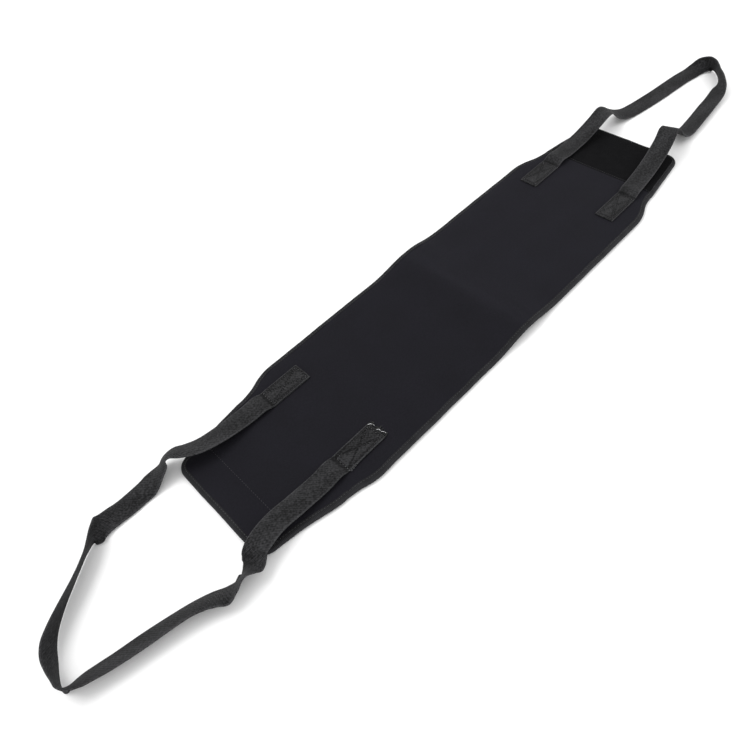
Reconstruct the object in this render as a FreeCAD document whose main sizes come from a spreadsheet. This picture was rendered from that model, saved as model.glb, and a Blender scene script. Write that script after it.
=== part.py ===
import FreeCAD, Part

# Gait belt: a padded belt with a webbing handle loop at each end.
#
# The belt lies flat on its lower face, its outer face up. X runs along the belt, Y across it and Z up.
# The padding is one flexible sheet, so it is cut at four fold lines into five stretches: near_end,
# near_flank, back, far_flank and far_end. Each layer of the padding is a piece in every stretch.

import math
import os

import Sketcher
from FreeCAD import Placement, Rotation, Vector

SIZES = {
    "belt_length": 785,
    "belt_width": 200,
    "shoulder_start": 235,
    "shoulder_finish": 300,
    "tab_width": 172,
    "tip_width": 152,
    "corner_radius": 18,
    "inner_fold": 80,
    "outer_fold": 190,
    "fold_gap": 2,
    "lining_thick": 0.7,
    "foam_thick": 5.3,
    "cover_thick": 0.7,
    "binding_thick": 0.7,
    "binding_reach": 6.5,
    "crease_height": 7.5,
    "crease_half": 60,
    "hook_length": 38,
    "strap_width": 26,
    "strap_thick": 1.6,
    "strap_offset": 61,
    "sewn_start": 218,
    "sewn_finish": 273.5,
    "stitch_width": 0.8,
    "stitch_rise": 0.4,
    "stitch_inset": 3,
}

# The middle line of each handle loop: x, y and z in mm, and the roll of the strap about its own line
# in degrees. At a roll of 0 or 180 the strap lies flat, and at 90 it stands on its edge.
NEAR_LOOP = [
    (-276, 61, 8.4, 0),
    (-300, 61.5, 10, 2),
    (-335, 61.5, 16, 9),
    (-362, 63, 20.5, 20),
    (-380, 69, 22, 30),
    (-391, 75, 20.5, 52),
    (-399, 79, 16, 92),
    (-407, 80.5, 12, 135),
    (-418, 80, 7, 165),
    (-435, 76.5, 2.4, 179),
    (-456, 76, 1.8, 180),
    (-476, 77, 2.2, 182),
    (-489, 76.5, 5, 192),
    (-500, 70, 10.5, 220),
    (-510, 60.5, 12.4, 236),
    (-530, 42, 12.8, 238),
    (-552, 25, 13.6, 249),
    (-571, 10, 13.8, 264),
    (-582, -6, 13.9, 270),
    (-588, -20, 13.9, 273),
    (-589, -32, 13.9, 278),
    (-580, -39, 13.9, 280),
    (-560, -47, 13.9, 270),
    (-538, -53, 13.8, 262),
    (-517, -57.5, 13.8, 264),
    (-496, -62, 13.9, 267),
    (-476, -67, 13.9, 268),
    (-457, -73, 13.9, 266),
    (-440, -79, 13.9, 260),
    (-427, -81.5, 14, 277),
    (-416, -81, 13.9, 280),
    (-407, -79.5, 13.8, 262),
    (-399, -76.5, 14.5, 230),
    (-391, -72, 18, 202),
    (-381, -67.5, 20.5, 186),
    (-362, -63.5, 19.5, 180),
    (-335, -62.5, 15, 179),
    (-300, -62, 9.7, 180),
    (-276, -61, 8.4, 180),
]
FAR_LOOP = [
    (276, -61, 8.4, 0),
    (298, -59, 11, 0),
    (326, -57, 17, 2),
    (354, -54, 24, 3),
    (380, -49.5, 32, 2),
    (399, -45, 37, -4),
    (411, -45, 31, -35),
    (420, -48, 22, -85),
    (432, -51, 14, -122),
    (450, -51.5, 10.5, -140),
    (480, -49, 9.6, -145),
    (512, -46.5, 9.6, -145),
    (542, -46.5, 10, -140),
    (570, -46, 11.6, -130),
    (597, -40, 13.6, -113),
    (618, -28, 13.9, -100),
    (633, -13, 13.9, -90),
    (639, 2, 13.6, -78),
    (631, 15, 12.4, -60),
    (612, 19.5, 10.4, -45),
    (586, 20, 9.8, -40),
    (558, 23, 9.6, -39),
    (530, 26.5, 9.6, -39),
    (502, 31, 9.6, -39),
    (478, 35.5, 10, -41),
    (456, 39.5, 11.6, -50),
    (438, 43.5, 15, -78),
    (424, 47, 20, -112),
    (410, 49.5, 25.5, -150),
    (396, 51, 29.5, -172),
    (384, 51.5, 29.5, -179),
    (366, 54, 24.5, -180),
    (340, 57, 16.5, -180),
    (306, 60, 10, -180),
    (276, 61, 8.4, -180),
]
LOOP_STEPS = 4  # cross-sections from one point of a loop's line to the next
PULL = 0.5  # how strongly the chord lengths pull the loop's curve: 0.5 keeps it free of kinks

doc = FreeCAD.newDocument("gait_belt")
sheet = doc.addObject("Spreadsheet::Sheet", "sizes")
for row, (alias, number) in enumerate(SIZES.items(), start=1):
    sheet.set(f"A{row}", str(number))
    sheet.setAlias(f"A{row}", alias)
doc.recompute()


class Size:
    """A length worked out from the sheet: its value, and the expression that gives it."""

    def __init__(self, value, text):
        self.value = value
        self.text = text

    def combined(self, other, symbol, value):
        text = other.text if isinstance(other, Size) else str(other)
        return Size(value, f"({self.text} {symbol} {text})")

    def __add__(self, other):
        return self.combined(other, "+", self.value + number_of(other))

    def __sub__(self, other):
        return self.combined(other, "-", self.value - number_of(other))

    def __mul__(self, other):
        return self.combined(other, "*", self.value * number_of(other))

    def __truediv__(self, other):
        return self.combined(other, "/", self.value / number_of(other))


def number_of(item):
    return item.value if isinstance(item, Size) else item


def cell(alias):
    """The size that one cell of the sheet holds."""
    return Size(float(getattr(sheet, alias)), f"sizes.{alias}")


NONE = Size(0.0, "0")
LINING_TOP = cell("lining_thick")
FOAM_TOP = LINING_TOP + cell("foam_thick")
PAD_TOP = FOAM_TOP + cell("cover_thick")
HALF_WIDTH = cell("belt_width") / 2
HALF_LENGTH = cell("belt_length") / 2
HALF_GAP = cell("fold_gap") / 2
WALL = cell("binding_thick")
REACH = cell("binding_reach")

NEAR = Rotation(Vector(0, 0, 1), 180)  # the near half is the far half turned about Z
FAR = Rotation()
PARTS = []


def new_body(label, turn=FAR):
    body = doc.addObject("PartDesign::Body", label)
    body.Label = label
    body.Placement = Placement(Vector(), turn)
    PARTS.append(body)
    return body


def origin_plane(body, role):
    return next(f for f in body.Origin.OriginFeatures if f.Role == role)


class Path:
    """Corners joined by lines and arcs. A bend is None, or a radius and the side its centre is on."""

    def __init__(self, corners, bends):
        self.corners = corners
        self.bends = bends

    def reversed(self):
        bends = [None if b is None else (b[0], not b[1]) for b in self.bends]
        return Path(self.corners[::-1], bends[::-1])

    def joined(self, other):
        return Path(self.corners + other.corners, self.bends + [None] + other.bends)


def arc_centre(start, finish, radius, on_left):
    """The centre of the short arc of that radius from start to finish."""
    middle = (start + finish) / 2
    chord = finish - start
    reach = math.sqrt(max(radius**2 - (chord.Length / 2) ** 2, 0))
    across = Vector(-chord.y, chord.x, 0).normalize()
    return middle + across * (reach if on_left else -reach)


def add_edge(sketch, start, finish, bend):
    """Draws a line or an arc, and gives its number and the ends that start and finish are."""
    if bend is None:
        return sketch.addGeometry(Part.LineSegment(start, finish), False), 1, 2
    radius, on_left = bend
    centre = arc_centre(start, finish, radius.value, on_left)
    first, last = (start, finish) if on_left else (finish, start)
    angles = [math.atan2(p.y - centre.y, p.x - centre.x) for p in (first, last)]
    if angles[1] < angles[0]:
        angles[1] += 2 * math.pi
    circle = Part.Circle(centre, Vector(0, 0, 1), radius.value)
    edge = sketch.addGeometry(Part.ArcOfCircle(circle, *angles), False)
    return edge, (1 if on_left else 2), (2 if on_left else 1)


def bound(sketch, kind, place, size, name):
    """Holds a point or a radius to a size of the sheet."""
    if kind in ("DistanceX", "DistanceY") and size.value == 0:
        axis = -2 if kind == "DistanceX" else -1
        sketch.addConstraint(Sketcher.Constraint("PointOnObject", *place, axis))
        return
    origin = () if kind == "Radius" else (-1, 1)
    number = sketch.addConstraint(Sketcher.Constraint(kind, *origin, *place, size.value))
    sketch.renameConstraint(number, name)
    sketch.setExpression(f"Constraints.{name}", size.text)


def add_sketch(body, name, role, path, mirror=None, lift=None, across=None, closing=None):
    """A closed sketch of a path. With mirror, an axis of the sketch, the path is half of it.

    across is the bend from the path's end to its mirror image, and closing the one back to its start.
    """
    sketch = body.newObject("Sketcher::SketchObject", name)
    sketch.AttachmentSupport = [(origin_plane(body, role), "")]
    sketch.MapMode = "FlatFace"
    if lift is not None:
        sketch.AttachmentOffset = Placement(Vector(0, 0, lift.value), Rotation())
        sketch.setExpression("AttachmentOffset.Base.z", lift.text)
    points = [Vector(x.value, y.value, 0) for x, y in path.corners]
    bends = list(path.bends)
    held = len(points)
    if mirror is not None:
        flip = (1, -1) if mirror == -1 else (-1, 1)
        points += [Vector(p.x * flip[0], p.y * flip[1], 0) for p in points[::-1]]
        bends += [across] + bends[::-1]
    bends += [closing]
    count = len(points)
    edges = [add_edge(sketch, points[i], points[(i + 1) % count], bends[i]) for i in range(count)]
    for i, (edge, start, _) in enumerate(edges):
        before, _, finish = edges[i - 1]
        sketch.addConstraint(Sketcher.Constraint("Coincident", before, finish, edge, start))
    for i, (x, y) in enumerate(path.corners):
        bound(sketch, "DistanceX", edges[i][:2], x, f"x{i}")
        bound(sketch, "DistanceY", edges[i][:2], y, f"y{i}")
    if mirror is not None:
        for i in range(held):
            twin = edges[count - 1 - i]
            sketch.addConstraint(Sketcher.Constraint("Symmetric", *edges[i][:2], *twin[:2], mirror))
    for i, (edge, _, _) in enumerate(edges):
        if bends[i] is not None:
            bound(sketch, "Radius", (edge,), bends[i][0], f"r{i}")
    return sketch


def add_pad(body, sketch, length, both_ways=False):
    pad = body.newObject("PartDesign::Pad", f"{body.Name}_pad")
    pad.Profile = sketch
    pad.Length = length.value
    pad.setExpression("Length", length.text)
    if both_ways:
        pad.SideType = "Symmetric"
    body.Tip = pad
    return pad


def add_pocket(body, sketch, length):
    """Cuts away from the sketch's plane, along its normal."""
    doc.recompute()
    before = body.Shape.Volume
    pocket = body.newObject("PartDesign::Pocket", f"{body.Name}_pocket")
    pocket.Profile = sketch
    pocket.Length = length.value
    pocket.setExpression("Length", length.text)
    pocket.Reversed = True
    body.Tip = pocket
    doc.recompute()
    if body.Shape.Volume > before - 1:
        raise RuntimeError(f"the pocket of {body.Label} cuts nothing")


# ---- The end stretches: seen from above, from the fold out to the end ----

SHOULDER_RUN = cell("shoulder_finish") - cell("shoulder_start")
SHOULDER_DROP = HALF_WIDTH - cell("tab_width") / 2
SHOULDER_RADIUS = (SHOULDER_RUN * SHOULDER_RUN / 4 + SHOULDER_DROP * SHOULDER_DROP / 4) / SHOULDER_DROP
TIP_START = HALF_LENGTH - cell("corner_radius")


def shoulder_path(inset):
    """The edge from the outer fold to the end of the shoulder, moved in by inset."""
    start = cell("outer_fold") + HALF_GAP
    share = (SHOULDER_RADIUS - inset) / (SHOULDER_RADIUS * 2)
    middle_x = cell("shoulder_start") + SHOULDER_RUN * share
    middle_y = HALF_WIDTH - SHOULDER_RADIUS + (SHOULDER_RADIUS * 2 - SHOULDER_DROP) * share
    corners = [
        (start, HALF_WIDTH - inset),
        (cell("shoulder_start"), HALF_WIDTH - inset),
        (middle_x, middle_y),
        (cell("shoulder_finish"), cell("tab_width") / 2 - inset),
    ]
    return Path(corners, [None, (SHOULDER_RADIUS - inset, False), (SHOULDER_RADIUS + inset, True)])


def taper_y(x, inset):
    """Half the tab's width at x, moved in by inset."""
    run = TIP_START - cell("shoulder_finish")
    slope = (cell("tab_width") - cell("tip_width")) / 2 / run
    return cell("tab_width") / 2 - inset - slope * (x - cell("shoulder_finish"))


def tip_path(start, inset):
    """The edge from start, on the tab, round its corner to the end."""
    corners = [
        (start, taper_y(start, inset)),
        (TIP_START, cell("tip_width") / 2 - inset),
        (HALF_LENGTH - inset, cell("tip_width") / 2 - cell("corner_radius")),
    ]
    return Path(corners, [None, (cell("corner_radius") - inset, False)])


def whole_path(inset):
    shoulder, tip = shoulder_path(inset), tip_path(TIP_START, inset)
    return Path(shoulder.corners + tip.corners[1:], shoulder.bends + tip.bends)


def part_path(inset, finish):
    """The edge from the fold to finish, which is on the tab."""
    shoulder = shoulder_path(inset)
    return Path(shoulder.corners + [(finish, taper_y(finish, inset))], shoulder.bends + [None])


def end_layer(label, turn, path, bottom, thick):
    body = new_body(label, turn)
    add_pad(body, add_sketch(body, f"{label}_outline", "XY_Plane", path, -1, bottom), thick)


def end_binding(label, turn):
    """Tape folded over the edge, all round the end: a channel that the foam fills."""
    body = new_body(label, turn)
    ring = whole_path(REACH).reversed().joined(whole_path(NONE))
    add_pad(body, add_sketch(body, f"{label}_ring", "XY_Plane", ring, -1), PAD_TOP)
    channel = add_sketch(body, f"{label}_channel", "XY_Plane", whole_path(WALL), -1, LINING_TOP)
    add_pocket(body, channel, cell("foam_thick"))


HOOK_START = HALF_LENGTH - cell("hook_length")
for name, turn in (("near_end", NEAR), ("far_end", FAR)):
    end_layer(f"foam_core_{name}", turn, whole_path(WALL), LINING_TOP, cell("foam_thick"))
    end_binding(f"edge_binding_{name}", turn)
end_layer("outer_cover_near_end", NEAR, whole_path(REACH), FOAM_TOP, cell("cover_thick"))
end_layer("inner_lining_near_end", NEAR, part_path(REACH, HOOK_START), NONE, LINING_TOP)
end_layer("hook_patch", NEAR, tip_path(HOOK_START, REACH), NONE, LINING_TOP)
end_layer("outer_cover_far_end", FAR, shoulder_path(REACH), FOAM_TOP, cell("cover_thick"))
end_layer("loop_patch", FAR, tip_path(cell("shoulder_finish"), REACH), FOAM_TOP, cell("cover_thick"))
end_layer("inner_lining_far_end", FAR, whole_path(REACH), NONE, LINING_TOP)

# ---- The flanks: seen from above ----

FLANK_START = cell("inner_fold") + HALF_GAP
FLANK_FINISH = cell("outer_fold") - HALF_GAP


def flank_layer(label, turn, inset, bottom, thick):
    path = Path([(FLANK_START, HALF_WIDTH - inset), (FLANK_FINISH, HALF_WIDTH - inset)], [None])
    end_layer(label, turn, path, bottom, thick)


def flank_binding(label, turn, side):
    """Tape folded over one long edge: a channel that is open towards the belt's middle."""
    body = new_body(label, turn if side > 0 else turn.multiply(OVER))
    inner, wall = HALF_WIDTH - REACH, HALF_WIDTH - WALL
    tape = Path(box_corners(FLANK_START, FLANK_FINISH, inner, HALF_WIDTH), [None] * 3)
    add_pad(body, add_sketch(body, f"{label}_tape", "XY_Plane", tape), PAD_TOP)
    slot = Path(box_corners(FLANK_START, FLANK_FINISH, inner, wall), [None] * 3)
    channel = add_sketch(body, f"{label}_channel", "XY_Plane", slot, None, LINING_TOP)
    add_pocket(body, channel, cell("foam_thick"))
    if side < 0:
        body.Placement.Base = Vector(0, 0, PAD_TOP.value)


def box_corners(left, right, low, high):
    return [(left, low), (right, low), (right, high), (left, high)]


OVER = Rotation(Vector(1, 0, 0), 180)  # the tape on the other long edge is this one turned over
for name, turn in (("near_flank", NEAR), ("far_flank", FAR)):
    flank_layer(f"outer_cover_{name}", turn, REACH, FOAM_TOP, cell("cover_thick"))
    flank_layer(f"foam_core_{name}", turn, WALL, LINING_TOP, cell("foam_thick"))
    flank_layer(f"inner_lining_{name}", turn, REACH, NONE, LINING_TOP)
    sides = {"left": 1, "right": -1} if turn is FAR else {"left": -1, "right": 1}
    for side_name, side in sides.items():
        flank_binding(f"edge_binding_{name}_{side_name}", turn, side)

# ---- The back: seen from the side, because the storage crease lifts its middle ----

CREST = cell("crease_height")
RUN = cell("crease_half")
CREASE_RADIUS = RUN * RUN / 4 / CREST + CREST / 4


def back_edge(height):
    """Half the edge at a height above the lower face, from the crest's arc out to the fold."""
    share = (CREASE_RADIUS - height) / (CREASE_RADIUS * 2)
    turn = (RUN - RUN * share, CREASE_RADIUS - (CREASE_RADIUS * 2 - CREST) * share)
    corners = [turn, (RUN, height), (cell("inner_fold") - HALF_GAP, height)]
    return Path(corners, [(CREASE_RADIUS - height, True), None])


def back_sketch(body, name, low, high, lift=None):
    """A layer of the back between two heights."""
    path = back_edge(high).joined(back_edge(low).reversed())
    over, under = (CREASE_RADIUS + high, False), (CREASE_RADIUS + low, True)
    return add_sketch(body, name, "XZ_Plane", path, -2, lift, under, over)


def back_layer(label, low, high, inset):
    body = new_body(label)
    add_pad(body, back_sketch(body, f"{label}_band", low, high), (HALF_WIDTH - inset) * 2, True)


def back_binding(label, turn):
    body = new_body(label, turn)
    inner = HALF_WIDTH - REACH
    add_pad(body, back_sketch(body, f"{label}_tape", NONE, PAD_TOP, inner), REACH)
    channel = back_sketch(body, f"{label}_channel", LINING_TOP, FOAM_TOP, inner)
    add_pocket(body, channel, REACH - WALL)


back_layer("outer_cover_back", FOAM_TOP, PAD_TOP, REACH)
back_layer("foam_core_back", LINING_TOP, FOAM_TOP, WALL)
back_layer("inner_lining_back", NONE, LINING_TOP, REACH)
back_binding("edge_binding_back_right", FAR)
back_binding("edge_binding_back_left", NEAR)

# ---- The straps: sewn ends with their box-and-cross stitching, and the two loops ----


def size(alias):
    return cell(alias).value


def strap_tail(label, turn, side):
    """The flat end of a strap, where it is sewn to the cover."""
    body = new_body(label, turn)
    half = cell("strap_width") / 2
    path = Path([(cell("sewn_start"), half), (cell("sewn_finish"), half)], [None])
    outline = add_sketch(body, f"{label}_outline", "XY_Plane", path, -1, PAD_TOP)
    add_pad(body, outline, cell("strap_thick"))
    body.Placement.Base = Vector(0, side * size("strap_offset"), 0)


def new_feature(label, shape, placement=Placement()):
    feature = doc.addObject("Part::Feature", label)
    feature.Label = label
    feature.Shape = shape
    feature.Placement = placement * shape.Placement
    PARTS.append(feature)


def thread(start, finish, bottom):
    """One straight line of stitching: a low bar from start to finish."""
    run = finish - start
    width = size("stitch_width")
    bar = Part.makeBox(run.Length, width, size("stitch_rise"), Vector(0, -width / 2, 0))
    bar.Placement = Placement(start + Vector(0, 0, bottom), Rotation(Vector(1, 0, 0), run))
    return bar


def box_stitching(label, turn, side):
    """A sewn box with a cross in it, and a second row at its outer end."""
    inset = size("stitch_inset")
    low, high = size("sewn_start") + inset, size("sewn_finish") - inset
    half = size("strap_width") / 2 - inset
    a, b, c, d = [Vector(x, y, 0) for x, y in ((low, -half), (high, -half), (high, half), (low, half))]
    tack = Vector(-1.6 * size("stitch_width"), 0, 0)
    runs = [(a, b), (b, c), (c, d), (d, a), (a, c), (b, d), (b + tack, c + tack)]
    bottom = PAD_TOP.value + size("strap_thick")
    bars = [thread(start, finish, bottom) for start, finish in runs]
    place = Placement(Vector(0, side * size("strap_offset"), 0), turn)
    new_feature(label, bars[0].multiFuse(bars[1:]).removeSplitter(), place)


for end, turn in (("near", NEAR), ("far", FAR)):
    for side_name, side in (("left", 1), ("right", -1)):
        strap_tail(f"strap_end_{end}_{side_name}", turn, side)
        box_stitching(f"box_stitching_{end}_{side_name}", turn, side)


def seam(label, turn, x, half):
    """A row of stitching across the cover."""
    bar = thread(Vector(x, -half, 0), Vector(x, half, 0), PAD_TOP.value)
    new_feature(label, bar, Placement(Vector(), turn))


SEAM_INSET = REACH.value + size("stitch_inset")
seam("hook_patch_stitching", NEAR, HOOK_START.value, taper_y(HOOK_START, SEAM_INSET).value)
seam("loop_patch_stitching", FAR, size("shoulder_finish") - 2, size("tab_width") / 2 - SEAM_INSET)


def blended(first, second, start, finish, at):
    """The point between two points at a place between their knots."""
    share = (at - start) / (finish - start)
    return [a + (b - a) * share for a, b in zip(first, second)]


def curve_point(points, knots, at):
    """A point of the Catmull-Rom curve through four points, between the middle two."""
    rows, spans = points, 1
    while len(rows) > 1:
        if spans == 3:
            rows = [blended(rows[0], rows[1], knots[1], knots[2], at)]
        else:
            rows = [
                blended(rows[i], rows[i + 1], knots[i], knots[i + spans], at)
                for i in range(len(rows) - 1)
            ]
        spans += 1
    return rows[0]


def loop_stations(points):
    """The loop's middle line and roll, at even shares of each span of its points."""
    ends = [2 * a - b for a, b in zip(points[0], points[1])]
    tails = [2 * a - b for a, b in zip(points[-1], points[-2])]
    path = [ends, *points, tails]
    stations = []
    for i in range(len(points) - 1):
        span = path[i : i + 4]
        knots = [0.0]
        for first, second in zip(span, span[1:]):
            knots.append(knots[-1] + math.dist(first[:3], second[:3]) ** PULL)
        for step in range(LOOP_STEPS):
            at = knots[1] + (knots[2] - knots[1]) * step / LOOP_STEPS
            stations.append(curve_point(span, knots, at))
    return stations + [list(points[-1])]


def strap_section(place, along, roll):
    """The strap's four corners where its middle line passes a place, square to the line."""
    level = Vector(-along.y, along.x, 0).normalize()
    rise = along.cross(level)
    angle = math.radians(roll)
    across = level * math.cos(angle) + rise * math.sin(angle)
    through = along.cross(across)
    wide, thick = size("strap_width") / 2, size("strap_thick") / 2
    corners = [(wide, thick), (-wide, thick), (-wide, -thick), (wide, -thick)]
    points = [place + across * w + through * t for w, t in corners]
    return Part.makePolygon(points + points[:1])


def handle_loop(label, points):
    """The free strap from one sewn end to the other, as a ruled solid through its sections."""
    stations = loop_stations(points)
    places = [Vector(*station[:3]) for station in stations]
    sections = []
    for i, place in enumerate(places):
        along = places[min(i + 1, len(places) - 1)] - places[max(i - 1, 0)]
        sections.append(strap_section(place, along.normalize(), stations[i][3]))
    new_feature(label, Part.makeLoft(sections, True, True))


handle_loop("near_handle_loop", NEAR_LOOP)
handle_loop("far_handle_loop", FAR_LOOP)

# ---- Check, move the origin to the middle of the footprint, and export ----

doc.recompute()
for item in doc.Objects:
    if "Invalid" in item.State or "Error" in item.State:
        raise RuntimeError(f"{item.Label} failed: {item.State}")
for part in PARTS:
    if part.Shape.isNull() or not part.Shape.isValid():
        raise RuntimeError(f"{part.Label} has no valid shape")

box = FreeCAD.BoundBox()
for part in PARTS:
    box.add(part.Shape.BoundBox)
middle = Vector(box.Center.x, box.Center.y, box.ZMin)
os.makedirs("parts", exist_ok=True)
for part in PARTS:
    part.Placement.Base = part.Placement.Base - middle
doc.recompute()
for part in PARTS:
    part.Shape.exportStep(f"parts/{part.Label}.step")
print(f"{len(PARTS)} parts, origin moved by {middle}, box {box}")
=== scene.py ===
import math
import random

import bmesh
import bpy
import numpy as np
from mathutils import Matrix, Vector


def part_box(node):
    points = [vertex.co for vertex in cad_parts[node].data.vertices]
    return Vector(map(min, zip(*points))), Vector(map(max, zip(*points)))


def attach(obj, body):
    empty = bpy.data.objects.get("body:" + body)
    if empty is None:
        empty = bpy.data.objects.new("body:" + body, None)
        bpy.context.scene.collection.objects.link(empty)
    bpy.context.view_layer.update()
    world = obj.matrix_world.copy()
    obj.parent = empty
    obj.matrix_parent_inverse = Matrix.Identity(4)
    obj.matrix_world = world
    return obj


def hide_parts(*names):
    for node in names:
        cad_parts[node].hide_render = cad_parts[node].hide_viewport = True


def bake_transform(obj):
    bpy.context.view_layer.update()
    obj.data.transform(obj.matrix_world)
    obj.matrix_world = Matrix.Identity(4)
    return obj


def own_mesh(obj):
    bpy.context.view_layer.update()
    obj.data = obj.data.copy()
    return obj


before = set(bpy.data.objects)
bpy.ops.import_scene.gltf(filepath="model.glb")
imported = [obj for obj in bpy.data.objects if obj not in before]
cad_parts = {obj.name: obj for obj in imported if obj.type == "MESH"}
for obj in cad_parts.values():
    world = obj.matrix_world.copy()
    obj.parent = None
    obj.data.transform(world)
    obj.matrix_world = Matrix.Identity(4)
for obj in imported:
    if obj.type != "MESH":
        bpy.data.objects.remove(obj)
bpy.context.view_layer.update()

# The gait belt's looks. Shapes are worked out in mm about the middle of the padding and go into the
# row frame at the end. X runs along the belt to the end with the pile panel, Y across it, Z up.

MM = 0.001
PAD_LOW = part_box("edge_binding_near_end")[0]
PAD_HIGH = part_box("edge_binding_far_end")[1]
MIDDLE = np.array([(PAD_LOW.x + PAD_HIGH.x) / 2, (PAD_LOW.y + PAD_HIGH.y) / 2, 0.0])
END = (PAD_HIGH.x - PAD_LOW.x) / 2 / MM  # from the middle of the padding to its end
HALF = (PAD_HIGH.y - PAD_LOW.y) / 2 / MM  # from the middle line to the long edge

SHOULDER_START, SHOULDER_FINISH = 235.0, 300.0  # along the belt, where it narrows
TAB_HALF, TIP_HALF = 86.0, 76.0  # half its width past the shoulder, and at its tips
CORNER = 18.0
TAPE = 6.6  # the binding's width on each face
TAPE_OVER = 1.2  # how far the binding reaches over the cover, the lining and the patches
FIRST_SPLIT, MIDDLE_SPLIT, LAST_SPLIT = -135.0, 46.0, 135.0  # where the padding's runs meet
CREST, CREST_RUN = 7.5, 60.0  # the storage crease: its height, and how far it spreads each way
STRAP_WIDE, STRAP_THICK = 26.0, 1.5
STRAP_SIDE = 61.0  # from the middle line to the middle of a sewn strap end
SEWN_START, SEWN_FINISH = 218.0, 273.5  # along the belt, the two ends of a strap's sewn part
BOX_INSET = 2.8  # from the strap's edges to the sewn box
HOOK_START = END - 38.0
PANEL_START = 300.0
SEAM_INSET = 1.8  # from the pile panel's front edge to its seam
STITCH_LIFT = 0.02  # how far a seam's stitches stand off the cloth under them

# The middle line of each handle's free strap: x, y and z in metres, then three angles in degrees:
# the roll (below 0 lifts the loop's outer edge), half the angle that the tape's section cups
# through, and how far its folds lean ahead at the inner edge. Many of the x and y values are places on
# the photographed strap, carried through the camera set below and rounded. The rest was judged.
NEAR_ROUTE = [
    (-0.276, 0.061, 0.0105, 0, 0, 0),
    (-0.283, 0.0612, 0.0120, 0, 6, 0),
    (-0.300, 0.0615, 0.0115, 2, 8, 0),
    (-0.335, 0.0615, 0.0160, 9, 12, 0),
    (-0.362, 0.0635, 0.0215, 18, 14, 0),
    (-0.378, 0.0700, 0.0245, 27, 14, 0),
    (-0.388, 0.0775, 0.0250, 34, 20, -8),
    (-0.396, 0.0805, 0.0200, 36, 25, -12),
    (-0.405, 0.0790, 0.0120, 30, 20, -5),
    (-0.416, 0.0780, 0.0065, 14, 10, 8),
    (-0.4275, 0.0765, 0.0036, -2, 6, 14),
    (-0.438, 0.0765, 0.0022, 0, 4, 6),
    (-0.452, 0.0760, 0.0020, 0, 4, 5),
    (-0.465, 0.0765, 0.0020, 2, 4, 18),
    (-0.475, 0.0765, 0.0024, 0, 4, 35),
    (-0.4835, 0.0750, 0.0042, -14, 6, 38),
    (-0.4895, 0.0718, 0.0084, -54, 6, 22),
    (-0.4955, 0.0675, 0.0126, -96, 6, 4),
    (-0.507, 0.0590, 0.0128, -114, 5, 0),
    (-0.5205, 0.0490, 0.0126, -117, 4, 0),
    (-0.533, 0.0400, 0.0127, -115, 4, 0),
    (-0.5455, 0.0315, 0.0129, -111, 4, 0),
    (-0.557, 0.0230, 0.0132, -105, 4, 0),
    (-0.568, 0.0135, 0.0136, -97, 4, 0),
    (-0.5765, 0.0035, 0.0137, -87, 4, 0),
    (-0.582, -0.0080, 0.0136, -84, 4, 0),
    (-0.585, -0.0200, 0.0138, -92, 6, 0),
    (-0.5865, -0.0310, 0.0136, -99, 6, 0),
    (-0.5855, -0.0380, 0.0137, -94, 8, 0),
    (-0.580, -0.0410, 0.0130, -64, 12, 0),
    (-0.5705, -0.0430, 0.0108, -49, 6, 0),
    (-0.557, -0.0460, 0.0096, -44, 5, 0),
    (-0.543, -0.0495, 0.0092, -41, 4, 0),
    (-0.5125, -0.0555, 0.0088, -38, 4, 0),
    (-0.481, -0.0620, 0.0093, -42, 4, 0),
    (-0.4655, -0.0660, 0.0095, -43, 4, 5),
    (-0.451, -0.0715, 0.0091, -40, 4, 18),
    (-0.440, -0.0770, 0.0088, -38, 5, 32),
    (-0.431, -0.0800, 0.0082, -36, 8, 38),
    (-0.4225, -0.0797, 0.0102, -52, 15, 25),
    (-0.415, -0.0785, 0.0122, -62, 15, 0),
    (-0.4085, -0.0785, 0.0115, -42, 10, -10),
    (-0.4025, -0.0775, 0.0118, -14, 8, -5),
    (-0.3975, -0.0745, 0.0152, -6, 6, 0),
    (-0.392, -0.0705, 0.0195, -2, 10, 0),
    (-0.382, -0.0675, 0.0208, 3, 14, 0),
    (-0.362, -0.0635, 0.0195, 0, 14, 0),
    (-0.335, -0.0625, 0.0150, -1, 12, 0),
    (-0.300, -0.0620, 0.0112, 0, 8, 0),
    (-0.283, -0.0613, 0.0120, 0, 6, 0),
    (-0.276, -0.0610, 0.0105, 0, 0, 0),
]
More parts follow.
